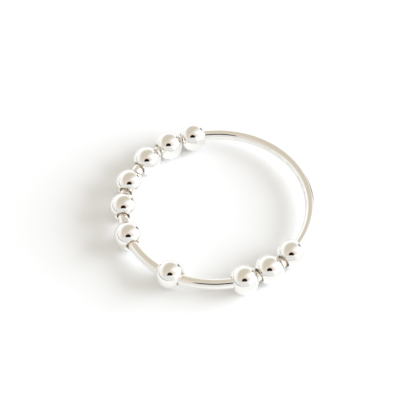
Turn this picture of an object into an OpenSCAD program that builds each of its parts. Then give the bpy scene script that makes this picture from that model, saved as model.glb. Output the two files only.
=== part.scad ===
// Silver ring of round wire with loose round beads that slide along it.
// Millimetres. The wire's mid-plane is XY, the ring's axis is Z, and the ring lies flat on its beads.

/* [Band] */
// Inside diameter of the wire ring, where the finger goes
inner_d = 18.3; // [16:0.1:21]
// Thickness of the round wire
wire_d = 1.1; // [0.9:0.05:1.1]

/* [Plain flat on the outside of the wire] */
// Place of the flat's middle, in degrees round the ring from +X
flat_at = 15; // [8:1:30]
// Length of the flat along the wire
flat_len = 5; // [4:0.5:6]
// Depth of the flat at its middle
flat_depth = 0.1; // [0.05:0.01:0.15]

/* [Beads] */
// Diameter of each round bead
bead_d = 3; // [2.8:0.1:3.1]
// Diameter of the hole through a bead
hole_d = 1.3; // [1.3:0.05:1.45]
// Width of the broken edge round each mouth of the hole
mouth_break = 0.15; // [0.06:0.01:0.16]
// Gap left between the wire and the side of the hole that rests on it
seat_gap = 0.012; // [0.01:0.002:0.03]
// Share of the play in its hole that a bead uses when it sits furthest to one side
side_share = 0.85; // [0:0.05:0.9]
// Place of the first bead, in degrees round the ring from +X
first_bead_at = 103.5; // [90:0.1:110]

/* [Hidden] */
$fn = 96;

// One row a bead, in order round the ring: the open wire between it and the bead before it, in degrees past
// touching, and how far it sits outwards, where 1 is the furthest
OPEN = 0;
SIDE = 1;
bead_seats = [
    [0, 1],
    [0.4, 1],
    [1.95, -1],
    [4.7, -0.6],
    [2.5, -1],
    [6.05, 0.6],
    [22.6, -1],
    [29.15, 0],
    [0.25, -1],
    [0.9, 1],
];

// The wire's centre line and outside
ring_r = (inner_d + wire_d) / 2;
outer_r = ring_r + wire_d / 2;

// The flat is cut to a larger radius than the ring's outside, so that it runs out smoothly at both ends
flat_r = 1 / (1 / outer_r - 8 * flat_depth / pow(flat_len, 2));
flat_reach = flat_len / 2 + 0.5;

// The broken edge of a mouth starts on the ball at this radius and this far from the bead's middle
mouth_r = hole_d / 2 + mouth_break;
half_mouth = sqrt(pow(bead_d / 2, 2) - pow(mouth_r, 2));

// A bead's hole is straight and the wire bends inside it, by this much over half of the hole's length
half_hole = half_mouth - mouth_break;
wire_bow = pow(half_hole, 2) / (2 * ring_r);

// The beads stand on the table and the wire lies low in their holes
bead_ring_r = ring_r - wire_bow / 2;
hole_play = (hole_d - wire_d) / 2 - seat_gap;
side_play = side_share * (hole_play - wire_bow / 2);
bead_rise = sqrt(pow(hole_play, 2) - pow(wire_bow / 2 + side_play, 2));

// Two beads touch at the inner edges of their mouths, this many degrees apart
touch_pitch = 2 * atan(half_mouth / (bead_ring_r - mouth_r));

// Where a bead is round the ring, counted on from the first
function bead_at(n) = n == 0 ? first_bead_at : bead_at(n - 1) + touch_pitch + bead_seats[n][OPEN];

// The closed round wire
module wire_ring() {
    rotate_extrude()
        translate([ring_r, 0])
            circle(d = wire_d);
}

// What the flat takes off the outside of the wire
module flat_waste() {
    rotate([0, 0, flat_at])
        difference() {
            translate([outer_r - wire_d, -flat_reach, -wire_d])
                cube([2 * wire_d, 2 * flat_reach, 2 * wire_d]);
            translate([outer_r - flat_depth - flat_r, 0, 0])
                cylinder(r = flat_r, h = 4 * wire_d, center = true);
        }
}

module band() {
    color("silver")
        difference() {
            wire_ring();
            flat_waste();
        }
}

// The broken edge of one mouth of the hole, a cone that opens outwards
module mouth_cone() {
    translate([0, 0, half_hole])
        cylinder(r1 = hole_d / 2, r2 = hole_d / 2 + 4 * mouth_break, h = 4 * mouth_break);
}

// A bead at the origin with its hole along Z
module bead_blank() {
    difference() {
        sphere(d = bead_d);
        cylinder(d = hole_d, h = 2 * bead_d, center = true);
        mouth_cone();
        mirror([0, 0, 1])
            mouth_cone();
    }
}

// A bead threaded on the wire, its hole along the wire
module bead(n) {
    color("gainsboro")
        rotate([0, 0, bead_at(n)])
            translate([bead_ring_r + bead_seats[n][SIDE] * side_play, 0, bead_rise])
                rotate([90, 0, 0])
                    bead_blank();
}

band();
for (n = [1 : len(bead_seats)])
    bead(n - 1);
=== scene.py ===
"""Looks of a silver ring of round wire with loose round beads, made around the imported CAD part, in metres."""

import logging
import math
from dataclasses import dataclass, field
from enum import Enum

import bpy
import numpy as np
from mathutils import Matrix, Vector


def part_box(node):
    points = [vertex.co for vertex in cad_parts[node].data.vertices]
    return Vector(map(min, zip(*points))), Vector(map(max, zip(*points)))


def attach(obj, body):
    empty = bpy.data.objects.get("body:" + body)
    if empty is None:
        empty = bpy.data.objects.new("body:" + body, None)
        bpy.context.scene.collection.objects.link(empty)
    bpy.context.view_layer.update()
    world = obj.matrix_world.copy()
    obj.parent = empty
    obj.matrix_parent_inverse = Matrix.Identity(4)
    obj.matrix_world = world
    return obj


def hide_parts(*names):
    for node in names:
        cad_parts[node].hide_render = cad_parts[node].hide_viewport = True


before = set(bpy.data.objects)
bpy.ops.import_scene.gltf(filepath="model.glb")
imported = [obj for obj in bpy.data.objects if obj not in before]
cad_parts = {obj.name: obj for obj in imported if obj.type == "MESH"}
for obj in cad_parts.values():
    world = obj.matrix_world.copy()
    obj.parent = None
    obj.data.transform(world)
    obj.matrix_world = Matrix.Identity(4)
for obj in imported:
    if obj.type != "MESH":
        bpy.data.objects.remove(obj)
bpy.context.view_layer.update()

MM = 0.001
IMAGE_SIDE = 416
BEAD_COUNT = 10
SHELTER = "shelter"
LOG = logging.getLogger("beaded_ring")

Colour = tuple[float, float, float]
Socket = bpy.types.NodeSocket


class Slot(Enum):
    """Material slots of the record. No piece takes its finish from them."""

    WIRE = "wire_silver"
    BEAD = "bead_silver"


class Sketch:
    """Short calls for laying out the nodes of one node tree."""

    def __init__(self, tree: bpy.types.NodeTree) -> None:
        """Starts on an empty tree.

        Args:
            tree: The node tree to fill. Nodes that it already has are removed.
        """
        self.tree = tree
        tree.nodes.clear()

    def add(self, kind: str, values: dict[str | int, object] | None = None, **settings: object) -> bpy.types.Node:
        """Adds a node.

        Args:
            kind: Blender's name of the node's type.
            values: A number, colour or output socket for each input, by its name or place.
            settings: Attributes of the node itself.

        Returns:
            The new node.
        """
        node = self.tree.nodes.new(kind)
        for name, value in settings.items():
            setattr(node, name, value)
        for name, value in (values or {}).items():
            self.feed(node.inputs[name], value)
        return node

    def feed(self, socket: Socket, value: object) -> None:
        """Links an output to a socket, or sets the socket to a plain value.

        Args:
            socket: The input to feed.
            value: An output socket, or a number, vector or colour that suits the input.
        """
        if isinstance(value, Socket):
            self.tree.links.new(value, socket)
        else:
            socket.default_value = value

    def math(self, operation: str, *values: object) -> Socket:
        """Adds a Math node and returns its result."""
        return self.add("ShaderNodeMath", dict(enumerate(values)), operation=operation).outputs[0]

    def vector(self, operation: str, *values: object) -> Socket:
        """Adds a Vector Math node and returns its result, a number for a dot product."""
        node = self.add("ShaderNodeVectorMath", dict(enumerate(values)), operation=operation)
        return node.outputs["Value" if operation == "DOT_PRODUCT" else "Vector"]

    def step(self, value: object, start: float, end: float) -> Socket:
        """Rises smoothly from 0 to 1 between two values.

        Args:
            value: The number that is read.
            start: Where the result is 0.
            end: Where the result is 1. It may be below start.

        Returns:
            The result's socket.
        """
        node = self.add(
            "ShaderNodeMapRange",
            {"Value": value, "From Min": start, "From Max": end},
            interpolation_type="SMOOTHSTEP",
        )
        return node.outputs["Result"]

    def mix(self, share: object, first: object, second: object) -> Socket:
        """Blends two colours.

        Args:
            share: 0 gives the first colour and 1 the second.
            first: A colour or a colour's socket.
            second: A colour or a colour's socket.

        Returns:
            The blend's socket.
        """
        node = self.add("ShaderNodeMix", data_type="RGBA")
        self.feed(node.inputs["Factor"], share)
        for socket, value in zip([s for s in node.inputs if s.type == "RGBA"], (first, second)):
            self.feed(socket, value if isinstance(value, Socket) else (*value, 1.0))
        return next(s for s in node.outputs if s.type == "RGBA")


def once_round(steps: int) -> np.ndarray:
    """Angles of equal steps once round a circle, from 0 up to the last before a full turn."""
    return np.linspace(0, 2 * np.pi, steps, endpoint=False)


def closed_surface(name: str, grid: np.ndarray, fields: dict[str, np.ndarray]) -> bpy.types.Object:
    """Makes a smooth piece from a grid of points that closes on itself both ways.

    Point (i, j) of the grid is joined to (i + 1, j) and (i, j + 1), each counted round past the last to the first.

    Args:
        name: Name of the object and its mesh.
        grid: Points, rows by columns by 3, in metres. The way to the next row, crossed with the way to the next
            column, points outwards.
        fields: A value for every point, rows by columns, for each attribute that the material reads.

    Returns:
        The new object, at the origin.
    """
    rows, columns, _ = grid.shape
    index = np.arange(rows * columns).reshape(rows, columns)
    below = np.roll(index, -1, axis=0)
    quads = np.stack([index, below, np.roll(below, -1, axis=1), np.roll(index, -1, axis=1)], axis=-1)
    mesh = bpy.data.meshes.new(name)
    mesh.vertices.add(rows * columns)
    mesh.vertices.foreach_set("co", grid.astype(np.float32).ravel())
    mesh.loops.add(quads.size)
    mesh.loops.foreach_set("vertex_index", quads.astype(np.int32).ravel())
    mesh.polygons.add(rows * columns)
    mesh.polygons.foreach_set("loop_start", np.arange(0, quads.size, 4, dtype=np.int32))
    mesh.polygons.foreach_set("use_smooth", np.ones(rows * columns, dtype=bool))
    mesh.update(calc_edges=True)
    mesh.validate()
    for label, values in fields.items():
        layer = mesh.attributes.new(label, "FLOAT", "POINT")
        layer.data.foreach_set("value", values.astype(np.float32).ravel())
    piece = bpy.data.objects.new(name, mesh)
    bpy.context.scene.collection.objects.link(piece)
    return piece


def place(piece: bpy.types.Object, node: str, material: bpy.types.Material) -> None:
    """Dresses a piece and sets it in the frame in place of a CAD node, on that node's body.

    Args:
        piece: The finished piece.
        node: The CAD node that the piece stands for. The body that it rides on has the same name.
        material: The piece's material.
    """
    piece.data.materials.append(material)
    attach(piece, node)
    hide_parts(node)
    LOG.info("%s: %d points, rides on %s, finish %s", piece.name, len(piece.data.vertices), node, material.name)


class Wear:
    """Wear that every polished surface shares: hairlines, soft waves left by the polishing wheel, and a dull haze.

    The hairlines are a noise that is stretched unequally along the three axes, so that it runs in streaks.
    """

    NAME = "polish wear"
    HAIRLINES_PER_M = (9000.0, 1400.0, 5200.0)
    HAZE_FROM = 0.38
    HAZE_TO = 0.68

    def group(self) -> bpy.types.NodeTree:
        """Builds the shader group once.

        Returns:
            The group. It takes Object coordinates and puts out a height in metres and a haze from 0 to 1.
        """
        if self.NAME in bpy.data.node_groups:
            return bpy.data.node_groups[self.NAME]
        tree = bpy.data.node_groups.new(self.NAME, "ShaderNodeTree")
        sketch = Sketch(tree)
        tree.interface.new_socket("Place", in_out="INPUT", socket_type="NodeSocketVector")
        for label in ("Wave size", "Wave height", "Hairline height", "Haze size"):
            tree.interface.new_socket(label, in_out="INPUT", socket_type="NodeSocketFloat")
        tree.interface.new_socket("Height", in_out="OUTPUT", socket_type="NodeSocketFloat")
        tree.interface.new_socket("Haze", in_out="OUTPUT", socket_type="NodeSocketFloat")
        given = sketch.add("NodeGroupInput").outputs
        waves = sketch.add(
            "ShaderNodeTexNoise",
            {"Vector": given["Place"], "Scale": sketch.math("DIVIDE", 1.0, given["Wave size"]), "Detail": 1.0},
        )
        hairlines = sketch.add(
            "ShaderNodeTexNoise",
            {
                "Vector": sketch.vector("MULTIPLY", given["Place"], self.HAIRLINES_PER_M),
                "Scale": 1.0,
                "Detail": 3.0,
                "Roughness": 0.7,
            },
        )
        haze = sketch.add(
            "ShaderNodeTexNoise",
            {"Vector": given["Place"], "Scale": sketch.math("DIVIDE", 1.0, given["Haze size"]), "Detail": 4.0},
        )
        wave_height = sketch.math("MULTIPLY", waves.outputs["Fac"], given["Wave height"])
        line_height = sketch.math("MULTIPLY", hairlines.outputs["Fac"], given["Hairline height"])
        sketch.add(
            "NodeGroupOutput",
            {
                "Height": sketch.math("ADD", wave_height, line_height),
                "Haze": sketch.step(haze.outputs["Fac"], self.HAZE_FROM, self.HAZE_TO),
            },
        )
        return tree


@dataclass(frozen=True)
class Silver:
    """Polished silver with faint wear, going matt and tan deep in its holes."""

    name: str
    bright: Colour = (0.93, 0.915, 0.885)
    hole_tan: Colour = (0.95, 0.78, 0.57)
    roughness: float = 0.035
    haze_roughness: float = 0.03
    dull_roughness: float = 0.80
    dull_metallic: float = 0.10
    wave_size: float = 1.6 * MM
    wave_height: float = 0.9e-6
    hairline_height: float = 0.02e-6
    haze_size: float = 0.9 * MM

    def material(self) -> bpy.types.Material:
        """Builds the material.

        The table beside polished metal is lit by what the metal mirrors down to it. That light is stood in for by a
        matt metal, which only light that has left a matt surface meets.

        Returns:
            A metal whose colour and roughness follow the piece's shelter attribute, from 0 in the open to 1 deep
            inside a hole.
        """
        found = bpy.data.materials.get(self.name)
        if found:
            return found
        made = bpy.data.materials.new(self.name)
        made.use_nodes = True
        sketch = Sketch(made.node_tree)
        place_on = sketch.add("ShaderNodeTexCoord").outputs["Object"]
        wear = sketch.add("ShaderNodeGroup", node_tree=Wear().group())
        for label, value in (
            ("Place", place_on),
            ("Wave size", self.wave_size),
            ("Wave height", self.wave_height),
            ("Hairline height", self.hairline_height),
            ("Haze size", self.haze_size),
        ):
            sketch.feed(wear.inputs[label], value)
        shelter = sketch.add("ShaderNodeAttribute", attribute_name=SHELTER).outputs["Fac"]
        open_roughness = sketch.math("MULTIPLY_ADD", wear.outputs["Haze"], self.haze_roughness, self.roughness)
        rest = sketch.math("SUBTRACT", self.dull_roughness, open_roughness)
        roughness = sketch.math("MULTIPLY_ADD", shelter, rest, open_roughness)
        metallic = sketch.math("MULTIPLY_ADD", shelter, self.dull_metallic - 1.0, 1.0)
        from_matt = sketch.add("ShaderNodeLightPath").outputs["Is Diffuse Ray"]
        bump = sketch.add("ShaderNodeBump", {"Height": wear.outputs["Height"], "Distance": 1.0, "Strength": 1.0})
        metal = sketch.add(
            "ShaderNodeBsdfPrincipled",
            {
                # Deep in each hole the base colour goes from bright silver to a tan, by the shelter attribute, as the
                # metal turns matt.
                "Base Color": sketch.mix(shelter, self.bright, self.hole_tan),
                "Metallic": sketch.math("MULTIPLY", metallic, sketch.math("SUBTRACT", 1.0, from_matt)),
                "Roughness": roughness,
                "Normal": bump.outputs["Normal"],
            },
        )
        sketch.add("ShaderNodeOutputMaterial", {"Surface": metal.outputs["BSDF"]})
        return made


@dataclass
class WireBand:
    """The closed ring of round wire, with the plain flat on its outside."""

    inner_d: float = 18.3 * MM
    wire_d: float = 1.1 * MM
    flat_at: float = math.radians(15)
    flat_len: float = 5.0 * MM
    flat_depth: float = 0.1 * MM
    flat_edge: float = 0.02 * MM
    steps_along: int = 900
    steps_round: int = 72
    finish: Silver = Silver("polished wire", roughness=0.04, wave_size=2.4 * MM, wave_height=0.8e-6)

    def surface(self) -> np.ndarray:
        """Works out the wire's surface.

        A circle of the wire's radius is carried round the ring's circle. Its distance from the ring's axis is then
        kept below that of a large cylinder, by a soft minimum that rounds the flat's edges. At the flat's middle the
        cylinder is flat_depth inside the ring's outside. Its radius is the one that brings it out again over the
        flat's length: one over it is one over the outside radius, less eight depths over the length squared.

        Returns:
            Points, steps along by steps round by 3.
        """
        ring_r = (self.inner_d + self.wire_d) / 2
        outer_r = ring_r + self.wire_d / 2
        flat_r = 1 / (1 / outer_r - 8 * self.flat_depth / self.flat_len**2)
        centre = outer_r - self.flat_depth - flat_r
        along, around = np.meshgrid(once_round(self.steps_along), once_round(self.steps_round), indexing="ij")
        reach = ring_r + self.wire_d / 2 * np.cos(around)
        height = self.wire_d / 2 * np.sin(around)
        turned = along - self.flat_at
        flat = centre * np.cos(turned) + np.sqrt(flat_r**2 - (centre * np.sin(turned)) ** 2)
        reach = reach - self.flat_edge * np.logaddexp(0, (reach - flat) / self.flat_edge)
        return np.stack([reach * np.cos(along), reach * np.sin(along), height], axis=-1)

    def build(self) -> None:
        """Makes the wire and sets it in place of its CAD node."""
        grid = self.surface()
        piece = closed_surface("wire_band", grid, {SHELTER: np.zeros(grid.shape[:2])})
        place(piece, "band", self.finish.material())


@dataclass
class Bead:
    """One round bead with a drilled hole whose mouths are rounded over.

    The dullness of the hole starts on the lip: dull_from of the lip's radius past the lip's middle, towards the
    mouth, and it is complete dull_over of that radius further in.
    """

    number: int
    bead_d: float = 3.0 * MM
    hole_d: float = 1.3 * MM
    lip_r: float = 0.14 * MM
    dull_from: float = 0.7
    dull_over: float = 0.5
    steps_over: int = 72
    steps_lip: int = 8
    steps_bore: int = 14
    steps_round: int = 112
    finish: Silver = Silver("polished bead")

    @property
    def node(self) -> str:
        """Name of the CAD node that this bead stands for."""
        return f"bead_{self.number}"

    def outline(self) -> tuple[np.ndarray, np.ndarray, np.ndarray]:
        """Works out the closed outline that is turned round the hole's axis.

        It runs over the ball from mouth to mouth, round one lip, back through the hole and round the other lip. A
        lip is an arc that touches both the ball and the wall of the hole.

        Returns:
            Distance along the axis, distance from the axis, and shelter, for every point of the outline.
        """
        ball_r, bore_r = self.bead_d / 2, self.hole_d / 2
        lip_out = bore_r + self.lip_r
        lip_along = math.sqrt((ball_r - self.lip_r) ** 2 - lip_out**2)
        tilt = math.atan2(lip_out, lip_along)
        over = np.linspace(tilt, math.pi - tilt, self.steps_over)
        lip = np.linspace(tilt, -math.pi / 2, self.steps_lip + 2)[1:-1]
        bore = np.linspace(-lip_along, lip_along, self.steps_bore)
        along = np.concatenate([
            ball_r * np.cos(over),
            -lip_along - self.lip_r * np.cos(lip),
            bore,
            lip_along + self.lip_r * np.cos(lip[::-1]),
        ])
        away = np.concatenate([
            ball_r * np.sin(over),
            lip_out + self.lip_r * np.sin(lip),
            np.full(self.steps_bore, bore_r),
            lip_out + self.lip_r * np.sin(lip[::-1]),
        ])
        dull_at = lip_along + self.dull_from * self.lip_r
        shelter = np.clip((dull_at - np.abs(along)) / (self.dull_over * self.lip_r), 0, 1)
        shelter[: self.steps_over] = 0
        return along, away, shelter

    def build(self) -> None:
        """Makes the bead where its CAD node is, with its hole along the wire.

        The outline is turned round the hole's axis: a point lies its distance along the axis from the bead's middle,
        and its distance from the axis out along a spoke, which turns from outwards to up.
        """
        low, high = (np.array(corner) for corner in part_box(self.node))
        centre = (low + high) / 2
        outwards = np.array([centre[0], centre[1], 0]) / math.hypot(centre[0], centre[1])
        up = np.array([0.0, 0.0, 1.0])
        axis = np.cross(outwards, up)
        along, away, shelter = self.outline()
        turn = once_round(self.steps_round)
        spoke = np.cos(turn)[:, None] * outwards + np.sin(turn)[:, None] * up
        grid = centre + along[:, None, None] * axis + away[:, None, None] * spoke[None, :, :]
        shade = np.repeat(shelter[:, None], self.steps_round, axis=1)
        piece = closed_surface(f"silver_{self.node}", grid, {SHELTER: shade})
        place(piece, self.node, self.finish.material())


@dataclass
class Ring:
    """The whole ring: the wire and the ten beads that are threaded on it."""

    bead_count: int = BEAD_COUNT
    wire: WireBand = field(default_factory=WireBand)

    def build(self) -> None:
        """Makes the wire, then each bead."""
        self.wire.build()
        for number in range(1, self.bead_count + 1):
            Bead(number).build()


@dataclass
class Viewpoint:
    """The photographer's place, worked out from the outline of the wire and the places of the beads.

    The focal length is in pixels, and ring_at is the pixel where the ring's centre lands.
    """

    distance: float = 132.9 * MM
    elevation: float = math.radians(52.89)
    roll: float = math.radians(2.26)
    focal_px: float = 1283.0
    ring_at: tuple[float, float] = (216.40, 206.12)
    sensor: float = 36.0
    clip: tuple[float, float] = (1 * MM, 10.0)

    def towards(self) -> np.ndarray:
        """Direction from the ring to the camera."""
        return np.array([0.0, -math.cos(self.elevation), math.sin(self.elevation)])

    def above(self) -> np.ndarray:
        """Direction that points up in the picture, before the roll."""
        return np.array([0.0, math.sin(self.elevation), math.cos(self.elevation)])

    def build(self) -> None:
        """Makes the camera.

        The camera looks at the ring's centre, is rolled, then panned and tilted so that the centre lands on its
        pixel.
        """
        pan = math.atan2(self.ring_at[0] - IMAGE_SIDE / 2, self.focal_px)
        tilt = math.atan2(self.ring_at[1] - IMAGE_SIDE / 2, self.focal_px)
        look = np.stack([np.array([1.0, 0.0, 0.0]), self.above(), -self.towards()])
        roll = Matrix.Rotation(self.roll, 3, "Z")
        turn = np.array([[math.cos(pan), 0, math.sin(pan)], [0, 1, 0], [-math.sin(pan), 0, math.cos(pan)]])
        nod = np.array([[1, 0, 0], [0, math.cos(tilt), -math.sin(tilt)], [0, math.sin(tilt), math.cos(tilt)]])
        axes = nod @ turn @ np.array(roll) @ look
        axes[2] *= -1
        data = bpy.data.cameras.new("camera")
        data.sensor_width = self.sensor
        data.lens = self.focal_px * self.sensor / IMAGE_SIDE
        data.clip_start, data.clip_end = self.clip
        camera = bpy.data.objects.new("camera", data)
        camera.matrix_world = Matrix.Translation(self.distance * self.towards()) @ Matrix(axes.T.tolist()).to_4x4()
        bpy.context.scene.collection.objects.link(camera)
        bpy.context.scene.camera = camera


@dataclass(frozen=True)
class Patch:
    """A rounded patch of the room, about its middle.

    Its soft edge is a share of its half width and half height. Power 2 makes it an ellipse, and more a squarer patch.
    """

    middle: tuple[float, float]
    half: tuple[float, float]
    soft: float
    power: float = 2.0

    def mask(self, sketch: Sketch, spot: tuple[Socket, Socket]) -> Socket:
        """Marks the patch.

        The patch is where the sum of the powers of the two distances, each over its half width, is below 1.

        Args:
            sketch: The world's nodes.
            spot: Sockets of the place, on the mirror ball to the right and up, or as azimuth and elevation.

        Returns:
            A socket that is 1 inside and 0 outside.
        """
        parts = []
        for value, centre, size in zip(spot, self.middle, self.half):
            away = sketch.math("DIVIDE", sketch.math("SUBTRACT", value, centre), size)
            parts.append(sketch.math("POWER", sketch.math("ABSOLUTE", away), self.power))
        reach = sketch.math("POWER", sketch.math("ADD", *parts), 1 / self.power)
        return sketch.step(reach, 1 + self.soft, 1 - self.soft)


@dataclass(frozen=True)
class Table:
    """The white table top, a disc at the height that the beads stand on, under matt paper with a faint grain."""

    colour: Colour = (0.93, 0.93, 0.925)
    grain_dark: float = 0.985
    grain_per_m: float = 400.0
    radius: float = 4.0
    sides: int = 96

    def paper(self) -> bpy.types.Material:
        """Builds the matt white paper.

        Returns:
            A material without gloss, whose colour a faint noise darkens here and there.
        """
        made = bpy.data.materials.new("matt white paper")
        made.use_nodes = True
        sketch = Sketch(made.node_tree)
        place_on = sketch.add("ShaderNodeTexCoord").outputs["Object"]
        grain = sketch.add("ShaderNodeTexNoise", {"Vector": place_on, "Scale": self.grain_per_m, "Detail": 3.0})
        darker = tuple(self.grain_dark * c for c in self.colour)
        shader = sketch.add(
            "ShaderNodeBsdfPrincipled",
            {
                "Base Color": sketch.mix(grain.outputs["Fac"], darker, self.colour),
                "Roughness": 1.0,
                "Specular IOR Level": 0.0,
            },
        )
        sketch.add("ShaderNodeOutputMaterial", {"Surface": shader.outputs["BSDF"]})
        return made

    def build(self) -> None:
        """Makes the table top, a flat circle about the ring's axis under the lowest bead."""
        height = min(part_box(f"bead_{n}")[0].z for n in range(1, BEAD_COUNT + 1))
        turn = once_round(self.sides)
        rim = [self.radius * np.cos(turn), self.radius * np.sin(turn), np.full(self.sides, height)]
        mesh = bpy.data.meshes.new("table_top")
        mesh.from_pydata(np.stack(rim, axis=-1).tolist(), [], [list(range(self.sides))])
        top = bpy.data.objects.new("table_top", mesh)
        bpy.context.scene.collection.objects.link(top)
        top.data.materials.append(self.paper())


@dataclass
class Room:
    """Soft daylight for the table, and the room that the silver mirrors.

    The mirrored room has pale walls, a cream ceiling with a glow on it, a window on the right, a thin dark skirting
    where the walls meet the table, and the dark camera.

    The room is laid out on a mirror ball as the photographer sees it: a direction's place on the ball is the share of
    its half vector, between it and the way to the photographer, to the right and up. The ball's rim is at 1. A field
    whose name ends in _span gives the values where something begins to show and where it is complete.
    """

    view: Viewpoint
    sky_light: Colour = (0.75, 0.72, 0.672)
    window_light: Colour = (9.6, 10.5, 11.6)
    front_wall: Colour = (0.84, 0.845, 0.845)
    left_wall: Colour = (1.0, 0.995, 0.98)
    right_wall: Colour = (1.18, 1.20, 1.24)
    ceiling: Colour = (0.69, 0.635, 0.53)
    window: Colour = (2.6, 2.6, 2.6)
    skirting: Colour = (0.17, 0.17, 0.165)
    near_glow: Colour = (0.83, 0.725, 0.63)
    camera_dark: Colour = (0.014, 0.008, 0.007)
    corner_dark: Colour = (0.10, 0.085, 0.07)
    backdrop: Colour = (1.0, 1.0, 1.0)
    right_wall_way: tuple[float, float, float] = (0.8, 0.6, 0.0)
    right_wall_span: tuple[float, float] = (-0.7, 0.3)
    front_wall_way: tuple[float, float, float] = (-0.3, -0.95, 0.0)
    front_wall_span: tuple[float, float] = (0.3, 0.85)
    ceiling_span: tuple[float, float] = (-0.14, 0.02)
    skirting_height_span: tuple[float, float] = (0.10, 0.06)
    skirting_right_span: tuple[float, float] = (0.1, -0.6)
    skirting_up_span: tuple[float, float] = (0.45, 0.0)
    camera_foot_span: tuple[float, float] = (-0.09, -0.065)
    window_pane: Patch = Patch(
        (math.radians(1.8), math.radians(18.6)), (math.radians(25.9), math.radians(18.4)), 0.3
    )
    ceiling_patch: Patch = Patch((0.06, 0.235), (0.51, 0.545), 0.18, 2.2)
    window_glow: Patch = Patch((0.59, -0.055), (0.57, 0.57), 0.36)
    near_patch: Patch = Patch((0.0, 0.04), (0.38, 0.20), 0.5)
    camera_patch: Patch = Patch((0.01, -0.08), (0.18, 0.21), 0.10, 2.5)
    dark_corners: tuple[Patch, ...] = (
        Patch((0.61, 0.575), (0.085, 0.07), 0.45),
        Patch((0.665, 0.50), (0.04, 0.075), 0.45),
    )

    def walls(self, sketch: Sketch, way: Socket) -> Socket:
        """Colours the walls: the front wall over a blend from the left to the right wall.

        Args:
            sketch: The world's nodes.
            way: The direction.

        Returns:
            The wall's colour in that direction.
        """
        along_right = sketch.vector("DOT_PRODUCT", way, self.right_wall_way)
        along_front = sketch.vector("DOT_PRODUCT", way, self.front_wall_way)
        side = sketch.mix(sketch.step(along_right, *self.right_wall_span), self.left_wall, self.right_wall)
        return sketch.mix(sketch.step(along_front, *self.front_wall_span), side, self.front_wall)

    def mirrored(self, sketch: Sketch, way: Socket, pane: Socket, elevation: Socket) -> Socket:
        """Paints the room that the silver mirrors.

        Args:
            sketch: The world's nodes.
            way: The direction.
            pane: 1 inside the window and 0 outside.
            elevation: The direction's angle above the table.

        Returns:
            The room's colour in that direction.
        """
        half = sketch.vector("NORMALIZE", sketch.vector("ADD", way, tuple(self.view.towards())))
        right = sketch.vector("DOT_PRODUCT", half, (1.0, 0.0, 0.0))
        up = sketch.vector("DOT_PRODUCT", half, tuple(self.view.above()))
        spot = (right, up)
        above = sketch.step(up, *self.ceiling_span)
        unlit = sketch.math("SUBTRACT", 1.0, self.window_glow.mask(sketch, spot))
        cream = sketch.math("MULTIPLY", self.ceiling_patch.mask(sketch, spot), sketch.math("MULTIPLY", above, unlit))
        low = sketch.math(
            "MULTIPLY",
            sketch.step(elevation, *self.skirting_height_span),
            sketch.step(right, *self.skirting_right_span),
        )
        low = sketch.math("MULTIPLY", low, sketch.step(up, *self.skirting_up_span))
        near = sketch.math("MULTIPLY", self.near_patch.mask(sketch, spot), above)
        foot = sketch.step(up, *self.camera_foot_span)
        camera = sketch.math("MULTIPLY", self.camera_patch.mask(sketch, spot), foot)
        tone = self.walls(sketch, way)
        for share, colour in (
            (cream, self.ceiling),
            (low, self.skirting),
            (pane, self.window),
            (near, self.near_glow),
            (camera, self.camera_dark),
            *((corner.mask(sketch, spot), self.corner_dark) for corner in self.dark_corners),
        ):
            tone = sketch.mix(share, tone, colour)
        return tone

    def build(self) -> None:
        """Makes the world.

        The light of the sky and the window falls on the table, the painted room shows in the silver, and the camera
        sees plain white.
        """
        world = bpy.data.worlds.new("daylight room")
        bpy.context.scene.world = world
        world.use_nodes = True
        sketch = Sketch(world.node_tree)
        way = sketch.vector("NORMALIZE", sketch.add("ShaderNodeTexCoord").outputs["Generated"])
        apart = sketch.add("ShaderNodeSeparateXYZ", {"Vector": way}).outputs
        azimuth = sketch.math("ARCTAN2", apart["Y"], apart["X"])
        elevation = sketch.math("ARCSINE", apart["Z"])
        pane = self.window_pane.mask(sketch, (azimuth, elevation))
        lighting = sketch.mix(pane, self.sky_light, self.window_light)
        rays = sketch.add("ShaderNodeLightPath").outputs
        tone = sketch.mix(rays["Is Glossy Ray"], lighting, self.mirrored(sketch, way, pane, elevation))
        tone = sketch.mix(rays["Is Camera Ray"], tone, self.backdrop)
        background = sketch.add("ShaderNodeBackground", {"Color": tone, "Strength": 1.0})
        sketch.add("ShaderNodeOutputWorld", {"Surface": background.outputs["Background"]})


@dataclass
class Studio:
    """The photographer's set: the table, the room, and plain colour handling of the picture."""

    view: Viewpoint
    table: Table = Table()

    def build(self) -> None:
        """Makes the table and the room, and sets the picture's colour handling."""
        self.table.build()
        Room(self.view).build()
        bpy.context.scene.view_settings.view_transform = "Standard"
        bpy.context.scene.view_settings.look = "None"


def main() -> None:
    """Makes the camera, the ring and the studio, and logs each piece."""
    logging.basicConfig(level=logging.INFO, format="%(name)s: %(message)s")
    view = Viewpoint()
    view.build()
    Ring().build()
    Studio(view).build()


if __name__ == "__main__":
    main()
